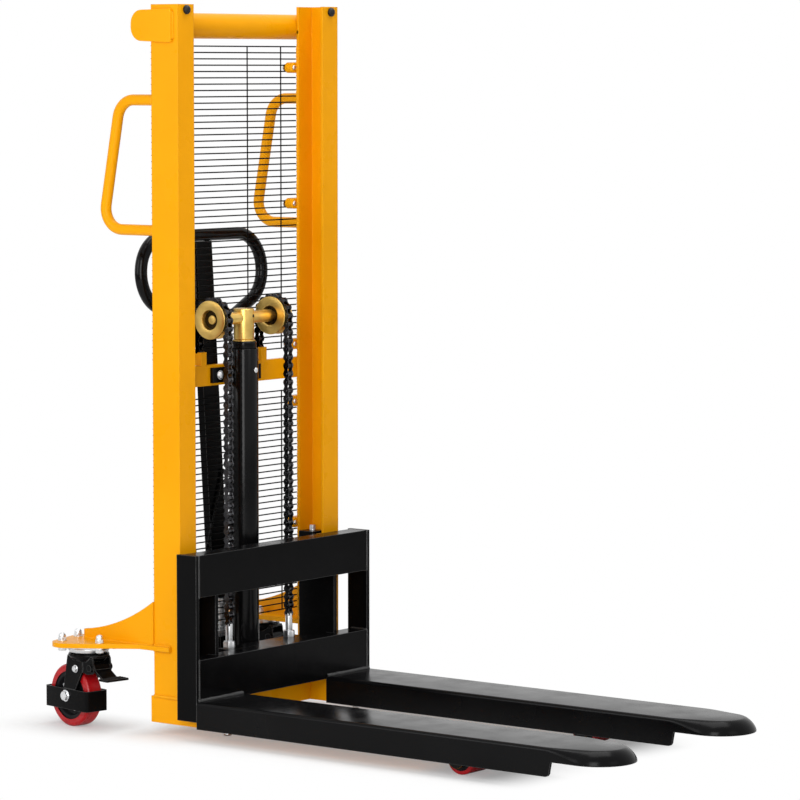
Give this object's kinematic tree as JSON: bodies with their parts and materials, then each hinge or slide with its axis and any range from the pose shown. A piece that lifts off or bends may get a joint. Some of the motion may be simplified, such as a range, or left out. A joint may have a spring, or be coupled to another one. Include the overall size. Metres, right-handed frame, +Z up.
{
  "type": "hand pallet stacker",
  "caption": "Hand-pumped pallet stacker: channel mast on straddle legs, chain-lifted fork carriage, mesh guards, looped tiller and braked swivel casters.",
  "frame": {"origin": "middle of the bounding box's underside, on the floor under the machine", "axes": "+Z up, -Y towards the fork tips, +X towards the machine's left as seen by the operator behind it"},
  "size_m": [0.764, 1.5253, 1.6],
  "materials": {
    "mast_yellow": "semi-gloss powder coat",
    "carriage_black": "semi-gloss powder coat",
    "gold_zinc": "yellow passivated zinc",
    "bright_zinc": "bright zinc plate",
    "chain_steel": "oiled dark steel",
    "grey_paint": "satin paint",
    "rubber_black": "matte",
    "red_polyurethane": "gloss moulded polyurethane",
    "wheel_hub": "painted casting",
    "chrome_rod": "hard chrome",
    "wire_black": "satin powder coat"
  },
  "bodies": {
    "mast_frame": {"right_column": "mast_yellow", "left_column": "mast_yellow", "top_ears": "mast_yellow", "top_tube": "mast_yellow", "stop_buttons": "rubber_black", "right_grip": "mast_yellow", "left_grip": "mast_yellow", "upper_mesh_guard": "wire_black", "lower_mesh_guard": "wire_black", "guard_lugs": "mast_yellow", "middle_beam": "mast_yellow", "right_leg": "mast_yellow", "left_leg": "mast_yellow", "load_roller_axles": "bright_zinc", "base_crossbar": "mast_yellow", "right_outrigger": "mast_yellow", "left_outrigger": "mast_yellow", "outrigger_gussets": "mast_yellow", "caster_plates": "bright_zinc", "frame_fasteners": "bright_zinc", "cylinder_tube": "carriage_black", "cylinder_gland": "carriage_black", "cylinder_clamp": "carriage_black", "pump_block": "carriage_black", "tiller_bracket": "carriage_black", "pump_spring": "bright_zinc", "rear_chain_strands": "chain_steel"},
    "carriage": {"upper_carriage_beam": "carriage_black", "lower_carriage_beam": "carriage_black", "carriage_side_plates": "carriage_black", "roller_plates": "carriage_black", "chain_anchor_plate": "carriage_black", "carriage_fasteners": "bright_zinc", "right_fork": "carriage_black", "left_fork": "carriage_black", "front_chain_strands": "chain_steel"},
    "ram": {"ram_rod": "chrome_rod", "crosshead": "gold_zinc", "crosshead_shaft": "gold_zinc", "chain_arcs": "chain_steel"},
    "right_pulley": {"right_pulley": "gold_zinc"},
    "left_pulley": {"left_pulley": "gold_zinc"},
    "tiller": {"tiller_stem": "carriage_black", "tiller_loop": "carriage_black"},
    "release_lever": {"release_lever": "grey_paint"},
    "pump_plunger": {"pump_plunger": "bright_zinc"},
    "right_lower_guide_roller": {"right_lower_guide_roller": "bright_zinc"},
    "right_upper_guide_roller": {"right_upper_guide_roller": "bright_zinc"},
    "left_lower_guide_roller": {"left_lower_guide_roller": "bright_zinc"},
    "left_upper_guide_roller": {"left_upper_guide_roller": "bright_zinc"},
    "right_load_roller": {"right_load_roller": "red_polyurethane"},
    "left_load_roller": {"left_load_roller": "red_polyurethane"},
    "right_caster_fork": {"right_caster_fork": "carriage_black"},
    "right_caster_wheel": {"right_caster_hub": "wheel_hub", "right_caster_tyre": "red_polyurethane"},
    "right_brake_pedal": {"right_brake_pedal": "carriage_black"},
    "left_caster_fork": {"left_caster_fork": "carriage_black"},
    "left_caster_wheel": {"left_caster_hub": "wheel_hub", "left_caster_tyre": "red_polyurethane"},
    "left_brake_pedal": {"left_brake_pedal": "carriage_black"}
  },
  "joints": [
    {"name": "carriage_lift", "type": "slide", "parent": "mast_frame", "child": "carriage", "axis": [0, 0, 1], "range_m": [0, 1.1], "deforming": ["front_chain_strands"]},
    {"name": "ram_slide", "type": "slide", "parent": "mast_frame", "child": "ram", "axis": [0, 0, 1], "range_m": [0, 0.55], "deforming": ["rear_chain_strands"]},
    {"name": "right_pulley_spin", "type": "hinge", "parent": "ram", "child": "right_pulley", "pos_m": [-0.105, 0.43631, 0.907], "axis": [-1, 0, 0], "range_deg": [0, 752]},
    {"name": "left_pulley_spin", "type": "hinge", "parent": "ram", "child": "left_pulley", "pos_m": [0.105, 0.43631, 0.907], "axis": [-1, 0, 0], "range_deg": [0, 752]},
    {"name": "right_lower_guide_roller_spin", "type": "hinge", "parent": "carriage", "child": "right_lower_guide_roller", "pos_m": [-0.246, 0.42631, 0.135], "axis": [-1, 0, 0], "range_deg": [0, 2034]},
    {"name": "right_upper_guide_roller_spin", "type": "hinge", "parent": "carriage", "child": "right_upper_guide_roller", "pos_m": [-0.246, 0.42631, 0.368], "axis": [1, 0, 0], "range_deg": [0, 2034]},
    {"name": "left_lower_guide_roller_spin", "type": "hinge", "parent": "carriage", "child": "left_lower_guide_roller", "pos_m": [0.246, 0.42631, 0.135], "axis": [-1, 0, 0], "range_deg": [0, 2034]},
    {"name": "left_upper_guide_roller_spin", "type": "hinge", "parent": "carriage", "child": "left_upper_guide_roller", "pos_m": [0.246, 0.42631, 0.368], "axis": [1, 0, 0], "range_deg": [0, 2034]},
    {"name": "right_load_roller_spin", "type": "hinge", "parent": "mast_frame", "child": "right_load_roller", "pos_m": [-0.226, -0.36069, 0.035], "axis": [1, 0, 0], "continuous": true},
    {"name": "left_load_roller_spin", "type": "hinge", "parent": "mast_frame", "child": "left_load_roller", "pos_m": [0.226, -0.36069, 0.035], "axis": [1, 0, 0], "continuous": true},
    {"name": "right_caster_swivel", "type": "hinge", "parent": "mast_frame", "child": "right_caster_fork", "pos_m": [-0.299, 0.63831, 0], "axis": [0, 0, 1], "continuous": true},
    {"name": "right_caster_spin", "type": "hinge", "parent": "right_caster_fork", "child": "right_caster_wheel", "pos_m": [-0.29101, 0.68362, 0.07], "axis": [0.9848, -0.1736, 0], "continuous": true},
    {"name": "right_brake_press", "type": "hinge", "parent": "right_caster_fork", "child": "right_brake_pedal", "pos_m": [-0.3056, 0.60089, 0.14], "axis": [0.9848, -0.1736, 0], "range_deg": [0, 12]},
    {"name": "left_caster_swivel", "type": "hinge", "parent": "mast_frame", "child": "left_caster_fork", "pos_m": [0.299, 0.63831, 0], "axis": [0, 0, 1], "continuous": true},
    {"name": "left_caster_spin", "type": "hinge", "parent": "left_caster_fork", "child": "left_caster_wheel", "pos_m": [0.29101, 0.68362, 0.07], "axis": [0.9848, 0.1736, 0], "continuous": true},
    {"name": "left_brake_press", "type": "hinge", "parent": "left_caster_fork", "child": "left_brake_pedal", "pos_m": [0.3056, 0.60089, 0.14], "axis": [0.9848, 0.1736, 0], "range_deg": [0, 12]},
    {"name": "tiller_pump", "type": "hinge", "parent": "mast_frame", "child": "tiller", "pos_m": [0, 0.53831, 0.285], "axis": [-1, 0, 0], "range_deg": [0, 60], "stiffness_Nm_per_rad": 20, "springref_deg": -17.19},
    {"name": "plunger_stroke", "type": "slide", "parent": "mast_frame", "child": "pump_plunger", "axis": [0, 0, 1], "range_m": [0, 0.0138], "deforming": ["pump_spring"]},
    {"name": "lever_squeeze", "type": "hinge", "parent": "tiller", "child": "release_lever", "pos_m": [-0.035, 0.55409, 0.95524], "axis": [-1, 0, 0], "range_deg": [0, 12]}
  ],
  "couplings": [
    {"joint": "ram_slide", "follows": "carriage_lift", "ratio": 0.5},
    {"joint": "right_pulley_spin", "follows": "carriage_lift", "rad_per_m": 11.905},
    {"joint": "left_pulley_spin", "follows": "carriage_lift", "rad_per_m": 11.905},
    {"joint": "right_lower_guide_roller_spin", "follows": "carriage_lift", "rad_per_m": 32.258},
    {"joint": "right_upper_guide_roller_spin", "follows": "carriage_lift", "rad_per_m": 32.258},
    {"joint": "left_lower_guide_roller_spin", "follows": "carriage_lift", "rad_per_m": 32.258},
    {"joint": "left_upper_guide_roller_spin", "follows": "carriage_lift", "rad_per_m": 32.258},
    {"joint": "plunger_stroke", "follows": "tiller_pump", "m_per_rad": 0.0129}
  ]
}
